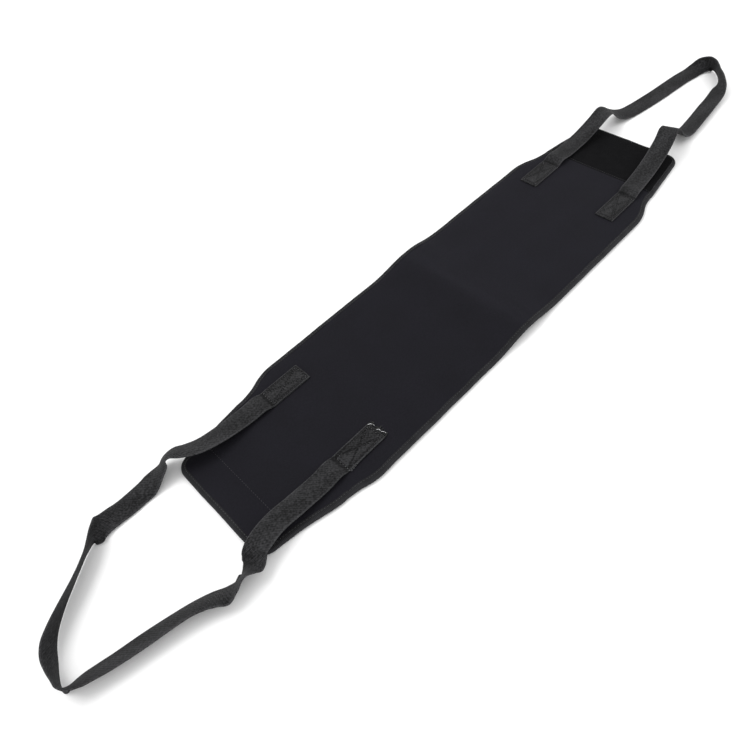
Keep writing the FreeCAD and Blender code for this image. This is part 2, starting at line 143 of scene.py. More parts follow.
FAR_ROUTE = [
    (0.276, -0.061, 0.0105, 0, 0, 0),
    (0.2815, -0.0606, 0.0132, 0, 6, 0),
    (0.297, -0.059, 0.0124, 0, 8, 0),
    (0.326, -0.057, 0.0170, 2, 10, 0),
    (0.354, -0.054, 0.0240, 3, 10, 0),
    (0.380, -0.0495, 0.0325, 0, 8, 0),
    (0.3955, -0.0455, 0.0375, -4, 6, 14),
    (0.404, -0.0450, 0.0368, -8, 6, 16),
    (0.4135, -0.0450, 0.0300, -10, 6, 12),
    (0.426, -0.0460, 0.0190, -8, 6, 4),
    (0.438, -0.0480, 0.0102, -8, 6, 0),
    (0.453, -0.0490, 0.0054, -10, 4, 0),
    (0.471, -0.0480, 0.0045, -14, 4, 0),
    (0.490, -0.0465, 0.0048, -16, 4, 0),
    (0.511, -0.0445, 0.0048, -16, 4, 0),
    (0.534, -0.0420, 0.0048, -16, 4, 0),
    (0.5565, -0.0400, 0.0050, -18, 4, 4),
    (0.573, -0.0375, 0.0062, -26, 4, 12),
    (0.585, -0.0340, 0.0096, -50, 6, 18),
    (0.595, -0.0290, 0.0128, -80, 8, 12),
    (0.607, -0.0220, 0.0134, -100, 6, 0),
    (0.6195, -0.0145, 0.0132, -106, 6, 0),
    (0.631, -0.0050, 0.0130, -109, 8, 0),
    (0.637, 0.0055, 0.0126, -108, 12, -5),
    (0.6345, 0.0145, 0.0092, -66, 12, -28),
    (0.6295, 0.0205, 0.0050, -22, 8, -30),
    (0.622, 0.0237, 0.0030, -8, 6, -20),
    (0.612, 0.0255, 0.0024, -4, 4, -5),
    (0.592, 0.0290, 0.0023, -4, 4, 0),
    (0.560, 0.0325, 0.0023, -4, 4, 0),
    (0.528, 0.0355, 0.0023, -4, 4, 0),
    (0.501, 0.0390, 0.0023, -4, 4, 0),
    (0.474, 0.0430, 0.0024, -4, 4, 0),
    (0.454, 0.0465, 0.0036, -5, 4, 0),
    (0.438, 0.0500, 0.0080, -8, 4, 0),
    (0.424, 0.0525, 0.0150, -12, 6, 0),
    (0.410, 0.0535, 0.0250, -12, 6, -5),
    (0.398, 0.0535, 0.0325, -6, 6, -12),
    (0.388, 0.0535, 0.0345, 0, 6, -10),
    (0.368, 0.0550, 0.0270, 2, 10, 0),
    (0.340, 0.0575, 0.0170, 0, 12, 0),
    (0.305, 0.0600, 0.0120, 0, 8, 0),
    (0.2835, 0.0607, 0.0132, 0, 6, 0),
    (0.276, 0.0610, 0.0105, 0, 0, 0),
]

# ---- Materials ----


class Shading:
    """A material's node tree, with short ways to add the nodes that cloth needs."""

    def __init__(self, name):
        self.material = bpy.data.materials.new(name)
        self.material.use_nodes = True
        self.nodes = self.material.node_tree.nodes
        self.links = self.material.node_tree.links
        self.shader = self.nodes["Principled BSDF"]
        uv = self.nodes.new("ShaderNodeUVMap")
        uv.uv_map = "metres"
        split = self.nodes.new("ShaderNodeSeparateXYZ")
        self.links.new(uv.outputs["UV"], split.inputs[0])
        self.uv = uv.outputs["UV"]
        self.u, self.v = split.outputs[0], split.outputs[1]
        self.place = self.nodes.new("ShaderNodeTexCoord").outputs["Object"]

    def put(self, value, socket):
        if hasattr(value, "is_output"):
            self.links.new(value, socket)
        else:
            socket.default_value = value

    def math(self, operation, first, second=0.0, third=0.0):
        node = self.nodes.new("ShaderNodeMath")
        node.operation = operation
        for value, socket in zip((first, second, third), node.inputs):
            self.put(value, socket)
        return node.outputs[0]

    def wave(self, along, period, shift=0.0):
        """A sine from -1 to 1 with that period in metres."""
        turns = self.math("MULTIPLY_ADD", along, 2 * math.pi / period, shift)
        return self.math("SINE", turns)

    def noise(self, size, detail=2.0, where=None):
        """Noise from 0 to 1, with blotches of that size in metres."""
        node = self.nodes.new("ShaderNodeTexNoise")
        node.inputs["Scale"].default_value = 1 / size
        node.inputs["Detail"].default_value = detail
        self.links.new(where or self.place, node.inputs["Vector"])
        return node.outputs["Fac"]

    def spread(self, value, low, high, to_low, to_high):
        node = self.nodes.new("ShaderNodeMapRange")
        for number, socket in zip((value, low, high, to_low, to_high), node.inputs):
            self.put(number, socket)
        return node.outputs[0]

    def attribute(self, name):
        node = self.nodes.new("ShaderNodeAttribute")
        node.attribute_name = name
        return node.outputs["Fac"]

    def colour(self, dark, light, factor):
        node = self.nodes.new("ShaderNodeMix")
        node.data_type = "RGBA"
        node.inputs["A"].default_value = (*dark, 1)
        node.inputs["B"].default_value = (*light, 1)
        self.links.new(factor, node.inputs["Factor"])
        self.links.new(node.outputs["Result"], self.shader.inputs["Base Color"])

    def rough(self, value):
        self.put(value, self.shader.inputs["Roughness"])

    def bump(self, height, depth, strength=1.0):
        node = self.nodes.new("ShaderNodeBump")
        node.inputs["Distance"].default_value = depth
        node.inputs["Strength"].default_value = strength
        self.links.new(height, node.inputs["Height"])
        self.links.new(node.outputs["Normal"], self.shader.inputs["Normal"])

    def sheen(self, weight, roughness, tint=(1, 1, 1)):
        self.shader.inputs["Sheen Weight"].default_value = weight
        self.shader.inputs["Sheen Roughness"].default_value = roughness
        self.shader.inputs["Sheen Tint"].default_value = (*tint, 1)

    def specular(self, level):
        self.shader.inputs["Specular IOR Level"].default_value = level


def knit(name, dark, light, sheen):
    """Smooth jersey bonded to foam: fine stitches, faint mottling, paler where it is rubbed, and painted
    light where its mesh attribute lightens a part that is lit more.
    """
    s = Shading(name)
    columns = s.wave(s.u, 0.0011)
    rows = s.wave(s.v, 0.0008, 0.7)
    stitch = s.math("MULTIPLY", columns, rows)
    blotch = s.noise(0.045, 3)
    grain = s.noise(0.0016, 2)
    mottle = s.math("MULTIPLY_ADD", grain, 0.55, s.math("MULTIPLY", blotch, 0.45))
    # The mesh attribute adds rubbed wear and painted light to the mottling.
    paleness = s.math("ADD", s.spread(mottle, 0.3, 0.7, 0.0, 0.75), s.attribute("wear_and_painted_light"))
    s.colour(dark, light, paleness)
    s.rough(s.spread(blotch, 0.3, 0.7, 0.78, 0.9))
    height = s.math("MULTIPLY_ADD", stitch, 0.35, s.math("MULTIPLY", grain, 0.8))
    s.bump(height, 0.00022, 0.7)
    s.sheen(sheen, 0.45, (0.85, 0.87, 1.0))
    s.specular(0.07)
    return s.material


def webbing_cloth():
    """Ribbed polyester tape: warp ridges along it, weft across them, and a firmer selvedge."""
    s = Shading("webbing")
    warp = s.wave(s.u, 0.0021)
    weft = s.wave(s.v, 0.0017)
    slant = s.wave(s.math("ADD", s.u, s.v), 0.0034)
    weave = s.math("MULTIPLY_ADD", s.math("MULTIPLY", warp, weft), 0.6, s.math("MULTIPLY", slant, 0.25))
    fluff = s.noise(0.0022, 3)
    blotch = s.noise(0.03, 2)
    edge = s.math("COMPARE", s.math("ABSOLUTE", s.u), STRAP_WIDE / 2 * MM, 0.0012)
    tone = s.math("MULTIPLY_ADD", weave, 0.32, s.math("MULTIPLY_ADD", fluff, 1.5, -0.5))
    tone = s.math("MULTIPLY_ADD", blotch, 0.35, s.math("ADD", tone, -0.12))
    tone = s.math("MULTIPLY_ADD", edge, 0.18, tone)
    # The mesh attribute adds wear and painted shade: darker in the stitch dents and in the crease where a
    # strap lifts off its sewn end.
    s.colour((0.0026, 0.0026, 0.0029), (0.057, 0.057, 0.060), s.math("ADD", tone, s.attribute("wear_and_painted_light")))
    s.rough(s.spread(fluff, 0.3, 0.7, 0.62, 0.82))
    s.bump(s.math("MULTIPLY_ADD", fluff, 0.6, weave), 0.00045, 0.8)
    s.sheen(0.015, 0.5)
    s.specular(0.12)
    return s.material


def tape_cloth():
    """Grosgrain binding tape: ribs across its width, paler along the folded edge."""
    s = Shading("binding_tape")
    ribs = s.wave(s.v, 0.0015)
    fluff = s.noise(0.0012, 2)
    blotch = s.noise(0.02, 2)
    tone = s.math("MULTIPLY_ADD", blotch, 0.5, s.math("MULTIPLY", fluff, 0.3))
    tone = s.math("MULTIPLY_ADD", ribs, 0.2, tone)
    s.colour((0.0060, 0.0060, 0.0065), (0.030, 0.030, 0.033), s.math("ADD", tone, s.attribute("wear_and_painted_light")))
    s.rough(s.spread(fluff, 0.3, 0.7, 0.66, 0.84))
    s.bump(s.math("MULTIPLY_ADD", fluff, 0.5, ribs), 0.0003, 0.8)
    s.sheen(0.015, 0.5)
    s.specular(0.12)
    return s.material


def pile_cloth():
    """Brushed loop pile: no gloss, with soft clumps."""
    s = Shading("loop_pile")
    loops = s.noise(0.0013, 4)
    clump = s.noise(0.012, 2)
    tone = s.math("MULTIPLY_ADD", loops, 0.7, s.math("MULTIPLY", clump, 0.4))
    s.colour((0.0022, 0.0022, 0.0025), (0.0092, 0.0092, 0.0100), tone)
    s.rough(0.95)
    s.bump(loops, 0.0009, 0.9)
    s.sheen(0.006, 0.6)
    s.specular(0.02)
    return s.material


def hook_cloth():
    """Woven nylon hooks in rows."""
    s = Shading("hook_tape")
    hooks = s.math("MULTIPLY", s.wave(s.u, 0.0017), s.wave(s.v, 0.0021))
    fluff = s.noise(0.001, 2)
    s.colour((0.008, 0.008, 0.009), (0.03, 0.03, 0.033), s.math("MULTIPLY_ADD", hooks, 0.4, fluff))
    s.rough(0.5)
    s.bump(hooks, 0.0009, 1.0)
    s.specular(0.45)
    return s.material


def thread_fibre(name, dark, light):
    """Twisted sewing thread."""
    s = Shading(name)
    fluff = s.noise(0.0007, 2)
    s.colour(dark, light, fluff)
    s.rough(s.spread(fluff, 0.3, 0.7, 0.5, 0.7))
    s.bump(fluff, 0.0001, 0.6)
    s.sheen(0.2, 0.4)
    s.specular(0.35)
    return s.material


COVER = knit("cover_fabric", (0.0076, 0.0073, 0.0096), (0.0132, 0.0128, 0.0168), 0.010)
LINING = knit("lining_fabric", (0.0080, 0.0080, 0.0092), (0.0140, 0.0140, 0.0160), 0.02)
WEBBING = webbing_cloth()
BINDING = tape_cloth()
PILE = pile_cloth()
HOOKS = hook_cloth()
THREAD = thread_fibre("thread", (0.022, 0.022, 0.024), (0.060, 0.060, 0.065))
FRAYED = thread_fibre("frayed_webbing", (0.002, 0.002, 0.002), (0.008, 0.008, 0.008))
# Painted highlight: the loose ends' pale grey stands in for glints on glossy bits at the strap's cut end.
LOOSE_THREAD_HIGHLIGHT = thread_fibre("loose_thread_painted_highlight", (0.42, 0.42, 0.43), (0.66, 0.66, 0.67))

# ---- Mesh tools ----

SPREAD_BY, TIP_SLIP = 6.0, 1.2


def settle(points):
    """Moves the padding a little, as it lies: its near end has spread to the right and slipped outward."""
    points = np.array(points, float)
    x, y = points[:, 0], points[:, 1]
    less_at_tip = 1 - 0.6 * smooth_step(-x, 296, 352)
    spread = smooth_step(-x, 228, 290) * smooth_step(-y, 10, 74) * less_at_tip
    points[:, 1] = y - SPREAD_BY * spread
    points[:, 0] = x - TIP_SLIP * smooth_step(-x, 340, 390)
    return points


def new_piece(name, points, faces, uvs, material, wear_and_painted_light=None, sharp=(), settled=True):
    """A mesh object from points in mm, one UV pair in mm per point, and the edges kept sharp."""
    points = settle(points) if settled else np.asarray(points, float)
    mesh = bpy.data.meshes.new(name)
    mesh.from_pydata((points * MM + MIDDLE).tolist(), [], faces)
    layer = mesh.uv_layers.new(name="metres")
    corners = np.empty(len(mesh.loops), np.int32)
    mesh.loops.foreach_get("vertex_index", corners)
    layer.data.foreach_set("uv", (np.asarray(uvs, float)[corners] * MM).ravel().astype(np.float32))
    if wear_and_painted_light is not None:
        attribute = mesh.attributes.new("wear_and_painted_light", "FLOAT", "POINT")
        attribute.data.foreach_set("value", np.asarray(wear_and_painted_light, np.float32))
    work = bmesh.new()
    work.from_mesh(mesh)
    bmesh.ops.recalc_face_normals(work, faces=work.faces)
    marked = set(sharp)
    for edge in work.edges:
        if tuple(sorted(v.index for v in edge.verts)) in marked:
            edge.smooth = False
    for face in work.faces:
        face.smooth = True
    work.to_mesh(mesh)
    work.free()
    mesh.materials.append(material)
    piece = bpy.data.objects.new(name, mesh)
    bpy.context.scene.collection.objects.link(piece)
    return piece


def strip_faces(rows, columns, first=0, closed=False):
    """Quads over a grid of points that is counted row by row."""
    faces = []
    for i in range(rows - 1):
        for j in range(columns if closed else columns - 1):
            a, b = i * columns + j, i * columns + (j + 1) % columns
            faces.append((first + a, first + b, first + b + columns, first + a + columns))
    return faces


def end_caps(total, count):
    """The two end faces of a tube of total points, with count to a ring, and the edges round them."""
    faces, rims = [], []
    for first in (0, total - count):
        faces.append(tuple(range(first, first + count)))
        rims += [tuple(sorted((first + k, first + (k + 1) % count))) for k in range(count)]
    return faces, rims


def ripple(x, y, length, seed):
    """Soft unevenness between about -1 and 1, with waves of about that length in mm."""
    draw = random.Random(seed)
    total = 0.0
    for _ in range(7):
        angle = draw.uniform(0, 2 * math.pi)
        k = 2 * math.pi / length * draw.uniform(0.7, 1.4)
        total = total + np.sin(k * (x * math.cos(angle) + y * math.sin(angle)) + draw.uniform(0, 6.28))
    return total / 4


def smooth_step(value, low, high):
    t = np.clip((value - low) / (high - low), 0, 1)
    return t * t * (3 - 2 * t)


# ---- The padding's outline and heights ----


def shoulder_points():
    """The left edge of the far end, from the middle of the belt to the end's corner."""
    run, drop = SHOULDER_FINISH - SHOULDER_START, HALF - TAB_HALF
    radius = (run * run + drop * drop) / 4 / drop
    turn = math.asin(run / 2 / radius)
    points = [(x, HALF) for x in np.arange(0, SHOULDER_START - 1, 2.5)]
    for t in np.linspace(0, turn, 14):
        points.append((SHOULDER_START + radius * math.sin(t), HALF - radius * (1 - math.cos(t))))
    for t in np.linspace(turn, 0, 14)[1:]:
        points.append((SHOULDER_FINISH - radius * math.sin(t), TAB_HALF + radius * (1 - math.cos(t))))
    start = END - CORNER
    for share in np.linspace(0, 1, 31)[1:]:
        across = TAB_HALF + (TIP_HALF - TAB_HALF) * share
        points.append((SHOULDER_FINISH + (start - SHOULDER_FINISH) * share, across))
    for t in np.linspace(0, math.pi / 2, 15)[1:]:
        points.append((start + CORNER * math.sin(t), TIP_HALF - CORNER * (1 - math.cos(t))))
    return np.array(points)


EDGE = shoulder_points()
LEFT_EDGE = np.vstack([EDGE[::-1] * (-1, 1), EDGE[1:]])  # from the near end's corner to the far end's


def half_width(x, inset=0.0):
    """Half the padding's width at x, with the whole outline moved in by inset."""
    along = np.gradient(LEFT_EDGE, axis=0)
    along /= np.linalg.norm(along, axis=1)[:, None]
    moved = LEFT_EDGE + np.stack([along[:, 1], -along[:, 0]], 1) * inset
    return np.interp(x, moved[:, 0], moved[:, 1])


def rise(x, y):
    """How far the lower face is off the floor: the storage crease and a little waviness."""
    bow = 3.0 * ripple(y, np.zeros_like(y), 260, 5)
    t = np.clip(np.sqrt((x - bow) ** 2 + 36) / CREST_RUN - 0.1, 0, 1)
    crease = (CREST - 0.3) * (1 - smooth_step(t, 0, 1)) ** 1.25
    side = np.clip(np.abs(y) / HALF, 0, 1) ** 4
    lift = 0.8 * side * np.clip(ripple(x, y, 190, 11) + 0.4, 0, 1)
    return crease + lift


def fold_mark(x, y, spot, reach, width, angle):
    """A short soft wrinkle through spot: 1 along its middle, fading to its ends and sides."""
    turn = math.radians(angle)
    along = (x - spot[0]) * math.cos(turn) + (y - spot[1]) * math.sin(turn)
    across = (y - spot[1]) * math.cos(turn) - (x - spot[0]) * math.sin(turn)
    return np.exp(-((along / reach) ** 2) - (across / width) ** 2)


WRINKLES = [  # x, y, half length, half width, angle from X in degrees, height
    (6, -78, 16, 3.5, 72, 0.9),
    (-7, -70, 12, 3.0, 100, -0.7),
    (18, -84, 10, 3.0, 58, 0.6),
    (2, -40, 26, 4.5, 86, 0.5),
    (-4, 20, 34, 5.0, 93, 0.4),
    (5, 74, 15, 4.0, 80, 0.5),
    (-230, 30, 40, 9.0, 20, 0.35),
    (160, -55, 45, 10.0, -15, 0.3),
]


def edge_distance(x, y):
    """How far a point is inside the padding's outline, roughly."""
    return np.minimum(half_width(x) - np.abs(y), END - np.abs(x))


THICK_AT_TAPE, CROWN, CROWN_RUN = 5.55, 1.15, 5.0  # the padding beside its binding, and its swell inside
PRESSED = 0.55  # how far a sewn strap end presses the padding down
HOOK_GROOVE, PANEL_GROOVE = 0.45, 0.5


def cover_height(x, y):
    """The upper face over the lower one: firm, a little crowned, and pinched at its sewn lines."""
    inside = edge_distance(x, y)
    height = THICK_AT_TAPE + CROWN * (1 - np.exp(-np.clip(inside - TAPE, 0, None) / CROWN_RUN))
    height = height + 0.16 * ripple(x, y, 95, 21) + 0.05 * ripple(x, y, 24, 22)
    for wx, wy, reach, width, angle, size in WRINKLES:
        height = height + size * fold_mark(x, y, (wx, wy), reach, width, angle)
    for sx in (-1, 1):
        for sy in (-1, 1):
            along = np.abs(x * sx - (SEWN_START + SEWN_FINISH) / 2) - (SEWN_FINISH - SEWN_START) / 2
            across = np.abs(y * sy - STRAP_SIDE) - STRAP_WIDE / 2
            away = np.maximum(along, across)
            height = height - PRESSED * (1 - smooth_step(away, -4, 7)) * (x * sx > 0) * (y * sy > 0)
    hook_line = np.exp(-(((x + HOOK_START) / 1.6) ** 2))
    panel_line = np.exp(-(((x - PANEL_START - SEAM_INSET) / 1.8) ** 2))
    return height - HOOK_GROOVE * hook_line - PANEL_GROOVE * panel_line


def upper(x, y):
    return rise(x, y) + cover_height(x, y)


# ---- The padding: cover and lining in four runs, each across one fold ----

RUNS = [  # name, from x, to x, the two bodies, where the bend starts and ends, the CAD stretches
    ("near_end", -END, FIRST_SPLIT, ("near_flank", "near_end"), (-165, -215), ("near_end", "near_flank")),
    ("near_middle", FIRST_SPLIT, MIDDLE_SPLIT, ("back", "near_flank"), (-58, -104), ("near_flank", "back")),
    ("far_middle", MIDDLE_SPLIT, LAST_SPLIT, ("back", "far_flank"), (58, 104), ("back", "far_flank")),
    ("far_end", LAST_SPLIT, END, ("far_flank", "far_end"), (165, 215), ("far_flank", "far_end")),
]


def at(x, y=0.0, z=0.0):
    return Vector(np.array([x, y, z]) * MM + MIDDLE)


def bend(piece):
    """Bakes a piece's placement into its mesh."""
    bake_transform(piece)


def slab(name, low_x, high_x, inset, step, lower_of, upper_of, material, wear_and_light_of=None):
    """A closed slab between two height functions, inside the outline moved in by inset."""
    xs = np.linspace(low_x, high_x, max(int(round((high_x - low_x) / step)), 2) + 1)
    side = np.linspace(-1, 1, 71)
    shares = np.sin(side * math.pi / 2) * 0.35 + side * 0.65
    x = np.repeat(xs, len(shares))
    y = (half_width(xs, inset)[:, None] * shares[None, :]).ravel()
    top = np.stack([x, y, upper_of(x, y)], 1)
    under = np.stack([x, y, lower_of(x, y)], 1)
    rows, columns, count = len(xs), len(shares), len(x)
    faces = strip_faces(rows, columns) + strip_faces(rows, columns, count)
    rim = list(range(columns))
    rim += [i * columns + columns - 1 for i in range(1, rows)]
    rim += [(rows - 1) * columns + j for j in range(columns - 2, -1, -1)]
    rim += [i * columns for i in range(rows - 2, 0, -1)]
    sharp = []
    for a, b in zip(rim, rim[1:] + rim[:1]):
        faces.append((a, b, b + count, a + count))
        sharp += [tuple(sorted((a, b))), tuple(sorted((a + count, b + count)))]
    wear_and_painted_light = None if wear_and_light_of is None else np.tile(wear_and_light_of(x, y), 2)
    uvs = np.tile(np.stack([x, y], 1), (2, 1))
    return new_piece(name, np.vstack([top, under]), faces, uvs, material, wear_and_painted_light, sharp)


def cover_wear_and_painted_light(x, y):
    """Paler cloth on the crease's crest and rubbed beside the binding, and painted light on the belt's far
    half, which stands in for that half being lit more.
    """
    crest = np.exp(-((x / 9) ** 2)) * 0.35
    rubbed = 0.15 * np.exp(-np.clip(edge_distance(x, y) - TAPE, 0, None) / 6)
    # Painted light: the far half is made paler because it is lit more than the near half.
    half = 0.22 * smooth_step(x, -6, 14)
    return crest + rubbed + half + 0.06 * ripple(x, y, 60, 31)


LINING_SKIN = 1.0  # the top of the lining, above the lower face
for run in RUNS:
    label, low_x, high_x, _, _, stretches = run
    inset = TAPE - TAPE_OVER
    low_x, high_x = max(low_x, -END + inset), min(high_x, END - inset)
    cover = slab(
        f"cover_{label}", low_x, high_x, inset, 1.6,
        lambda x, y: rise(x, y) + LINING_SKIN, upper, COVER, cover_wear_and_painted_light,
    )
    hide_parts(*[f"{layer}_{s}" for s in stretches for layer in ("outer_cover", "foam_core")])
    bend(cover)
    lining = slab(
        f"lining_{label}", low_x, high_x, inset, 3.0,
        lambda x, y: rise(x, y) + 0.35 + 0.1 * ripple(x, y, 40, 41),
        lambda x, y: rise(x, y) + LINING_SKIN, LINING,
    )
    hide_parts(*[f"inner_lining_{s}" for s in stretches])
    bend(lining)

# ---- The two patches of the closure ----


def panel_top(x, y):
    """The pile panel's face, rounded down at its sewn front edge."""
    front = 1 - np.exp(-np.clip(x - PANEL_START, 0, None) / 0.8)
    return upper(x, y) + 0.12 + 0.62 * front + 0.12 * ripple(x, y, 9, 51) * front


panel = slab(
    "loop_panel", PANEL_START, END - TAPE + TAPE_OVER, TAPE - TAPE_OVER, 1.2,
    lambda x, y: upper(x, y) - 0.5, panel_top, PILE,
)
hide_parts("loop_patch")
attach(panel, "far_end")

hook = slab(
    "hook_panel", -END + TAPE - TAPE_OVER, -HOOK_START, TAPE - TAPE_OVER, 1.2,
    lambda x, y: np.full_like(x, 0.02), lambda x, y: rise(x, y) + 0.6, HOOKS,
)
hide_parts("hook_patch")
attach(hook, "near_end")

# ---- The binding: tape folded over the edge, in the same runs ----

RUN_GAP = 0.4  # the outline's own points keep this far from a run's ends


def ring_path(run):
    """The outline of one run, anticlockwise: one path round an end, or one on each side of a middle run."""
    label, low_x, high_x = run[:3]
    edge_x = LEFT_EDGE[:, 0]
    within = (edge_x > low_x + RUN_GAP) & (edge_x < high_x - RUN_GAP)
    xs = np.concatenate([[low_x], edge_x[within], [high_x]])
    left = np.stack([xs, half_width(xs)], 1)
    if label.endswith("middle"):
        return [left[::-1], left * (1, -1)]
    corner = LEFT_EDGE[-1]
    across = np.stack([np.full(47, END), np.linspace(-corner[1], corner[1], 47)], 1)
    if label == "near_end":
        left = np.vstack([LEFT_EDGE[edge_x < high_x - RUN_GAP], [[high_x, HALF]]])
        return [np.vstack([left[::-1], (across * (-1, -1))[1:-1], left * (1, -1)])]
    left = np.vstack([[[low_x, HALF]], LEFT_EDGE[edge_x > low_x + RUN_GAP]])
    return [np.vstack([left * (1, -1), across[1:-1], left[::-1]])]


def evened(path, step):
    """The same path with points at even steps, and how far along it each one is."""
    lengths = np.concatenate([[0], np.cumsum(np.linalg.norm(np.diff(path, axis=0), axis=1))])
    places = np.linspace(0, lengths[-1], max(int(round(lengths[-1] / step)), 2) + 1)
    return np.stack([np.interp(places, lengths, path[:, k]) for k in range(path.shape[1])], 1), places


def inward(path):
    """The unit directions into the padding and along it, at each point of an anticlockwise path."""
    along = np.gradient(path, axis=0)
    along /= np.linalg.norm(along, axis=1)[:, None]
    return np.stack([-along[:, 1], along[:, 0]], 1), along


TAPE_PROFILE = [  # how far in, and how high as a share of the edge's height, round the tape's section
    (TAPE, 1.07), (TAPE - 0.7, 1.13), (5.0, 1.05), (3.6, 1.10),
    (2.2, 1.06), (1.1, 0.95), (0.35, 0.78), (0.0, 0.55),
    (0.0, 0.36), (0.4, 0.17), (1.2, 0.05), (2.6, 0.0),
    (5.0, 0.012), (TAPE - 0.7, 0.0), (TAPE, 0.03), (TAPE, 0.5),
]
EDGE_HEIGHT = 5.35


def tape_height(x, y):
    """How high the bound edge stands over the lower face."""
    return EDGE_HEIGHT + 0.25 * ripple(x, y, 42, 61) + 0.12 * ripple(x, y, 11, 62)


def binding(name, path):
    """A length of binding tape along a path on the outline."""
    line, places = evened(path, 1.7)
    into, _ = inward(line)
    x, y = line.T
    wobble = 0.35 * ripple(x, y, 60, 71) + 0.1 * ripple(x, y, 14, 72)
    points, uvs, wear_and_painted_light = [], [], []
    girth = 0.0
    for k, (depth, share) in enumerate(TAPE_PROFILE):
        spots = line + into * (depth + wobble * (1 if depth > 5 else 0.6))[:, None]
        base = rise(line[:, 0], line[:, 1])
        height = base + share * tape_height(x, y)
        points.append(np.column_stack([spots, np.maximum(height, 0.02)]))
        if k:
            before = TAPE_PROFILE[k - 1]
            girth += math.hypot(depth - before[0], (share - before[1]) * EDGE_HEIGHT)
        uvs.append(np.column_stack([np.full(len(x), girth), places]))
        fold = math.exp(-((depth - 0.6) / 1.3) ** 2) * (1 if share > 0.5 else 0.3)
        wear_and_painted_light.append(0.45 * fold + 0.12 * ripple(x, y, 17, 73))
    count = len(TAPE_PROFILE)
    points = np.array(points).transpose(1, 0, 2).reshape(-1, 3)
    uvs = np.array(uvs).transpose(1, 0, 2).reshape(-1, 2)
    caps, sharp = end_caps(len(points), count)
    faces = strip_faces(len(x), count, closed=True) + caps
    piece = new_piece(name, points, faces, uvs, BINDING, np.array(wear_and_painted_light).T.ravel(), sharp)
    bend(piece)
    return piece


# ---- Stitches: each one a small raised thread ----


def stitch_mesh(name, spots, length, material, width=0.62, proud=0.34):
    """A mesh of stitches. Each spot is its middle, its direction and the direction it stands up in."""
    points, faces = [], []
    for middle, along, up in spots:
        middle, along, up = (np.asarray(v, float) for v in (middle, along, up))
        side = np.cross(up, along)
        base = len(points)
        points.append(middle - along * length / 2 - up * 0.12)
        for share in (-0.28, 0.28):
            ring = middle + along * length * share
            points += [ring - side * width / 2, ring + up * proud, ring + side * width / 2, ring - up * 0.2]
        points.append(middle + along * length / 2 - up * 0.12)
        for k in range(4):
            a, b = base + 1 + k, base + 1 + (k + 1) % 4
            faces += [(base, b, a), (a, b, b + 4, a + 4), (base + 9, a + 4, b + 4)]
    uvs = np.array(points)[:, :2]
    return new_piece(name, points, faces, uvs, material)


def row_of_stitches(start, finish, pitch, height_of, up=(0, 0, 1)):
    """Spots for stitches on the straight line between two points."""
    start, finish = np.asarray(start, float), np.asarray(finish, float)
    count = max(int(np.linalg.norm(finish - start) / pitch), 1)
    along = (finish - start) / np.linalg.norm(finish - start)
    spots = []
    for k in range(count):
        x, y = start + (finish - start) * (k + 0.5) / count
        spots.append(((x, y, height_of(x, y)), (*along, 0), up))
    return spots


EDGE_STITCH, EDGE_PITCH, EDGE_INSET = 2.3, 3.4, 5.0
for run in RUNS:
    label = run[0]
    paths = ring_path(run)
    sides = ("left", "right") if len(paths) == 2 else ("end",)
    spots = []
    for side_name, path in zip(sides, paths):
        name = f"binding_{label}" if len(paths) == 1 else f"binding_{label}_{side_name}"
        piece = binding(name, path)
        flank = "near" if label.startswith("near") else "far"
        if len(paths) == 1:
            nodes = [f"edge_binding_{label}"]
            nodes += [f"edge_binding_{flank}_flank_{s}" for s in ("left", "right")]
        else:
            nodes = [f"edge_binding_{flank}_flank_{side_name}", f"edge_binding_back_{side_name}"]
        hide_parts(*nodes)
        line, _ = evened(path, EDGE_PITCH)
        into, along = inward(line)
        for k in range(len(line)):
            spot = line[k] + into[k] * EDGE_INSET
            high = rise(*line[k]) + 1.05 * tape_height(*line[k])
            spots.append(((*spot, high), (*along[k], 0), (0, 0, 1)))
            spots.append(((*spot, rise(*line[k]) + 0.16), (*along[k], 0), (0, 0, -1)))
    stitches = stitch_mesh(f"binding_stitches_{label}", spots, EDGE_STITCH, THREAD)
    bend(stitches)

CROSS_PITCH = 3.2


def cross_row(x, top_of):
    """Spots for the stitches of a seam straight across the padding."""
    half = float(half_width(x)) - TAPE
    return row_of_stitches((x, -half), (x, half), CROSS_PITCH, lambda x, y: top_of(x, y) + STITCH_LIFT)


panel_row = cross_row(PANEL_START + SEAM_INSET, panel_top)
panel_stitches = stitch_mesh("loop_panel_stitches", panel_row, 2.3, THREAD)
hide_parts("loop_patch_stitching")
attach(panel_stitches, "far_end")

hook_stitches = stitch_mesh("hook_panel_stitches", cross_row(-HOOK_START, upper), 2.2, THREAD, 0.5, 0.22)
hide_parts("hook_patch_stitching")
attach(hook_stitches, "near_end")

# ---- The straps ----


def spline(points, steps):
    """A smooth curve through points in mm, pulled evenly so that it makes no kinks."""
    rows = np.array(points, float)
    rows = np.vstack([2 * rows[0] - rows[1], rows, 2 * rows[-1] - rows[-2]])
    out = []
    for i in range(1, len(rows) - 2):
        p = rows[i - 1 : i + 3]
        t = np.concatenate([[0], np.cumsum(np.sqrt(np.linalg.norm(np.diff(p[:, :3], axis=0), axis=1)))])
        for s in np.linspace(t[1], t[2], steps, endpoint=False):
            level = list(p)
            for span in (1, 2):
                pairs = enumerate(zip(level, level[1:]))
                level = [a + (b - a) * (s - t[k]) / (t[k + span] - t[k]) for k, (a, b) in pairs]
            out.append(level[0] + (level[1] - level[0]) * (s - t[1]) / (t[2] - t[1]))
    return np.array(out + [rows[-2]])


